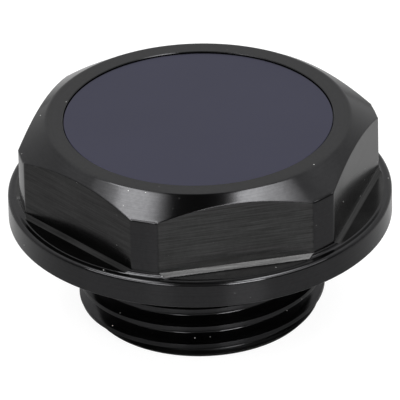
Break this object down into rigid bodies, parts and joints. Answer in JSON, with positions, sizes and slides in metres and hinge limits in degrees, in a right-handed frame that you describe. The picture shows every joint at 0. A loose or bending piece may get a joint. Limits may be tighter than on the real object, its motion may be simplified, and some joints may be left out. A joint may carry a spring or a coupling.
{
  "type": "oil filler cap",
  "caption": "Screw-in oil filler cap: bevelled hexagon head with a recessed inlay disc, round flange, rubber sealing ring and a hollow spigot with a coarse thread.",
  "frame": {"origin": "centre of the spigot's end face, on which the cap stands", "axes": "+Z along the cap's axis, from the spigot to the head; one of the six flats faces -Y"},
  "size_m": [0.0572, 0.0572, 0.0314],
  "materials": {
    "anodised_black": "glossy black anodising over fine turning and milling marks",
    "inlay_slate": "satin, plain dark slate",
    "adhesive_pad": "matt foam",
    "seal_rubber": "matt black nitrile rubber"
  },
  "bodies": {
    "root": {"cap_body": "anodised_black", "inlay_disc": "inlay_slate", "inlay_adhesive": "adhesive_pad", "sealing_ring": "seal_rubber"}
  },
  "joints": []
}
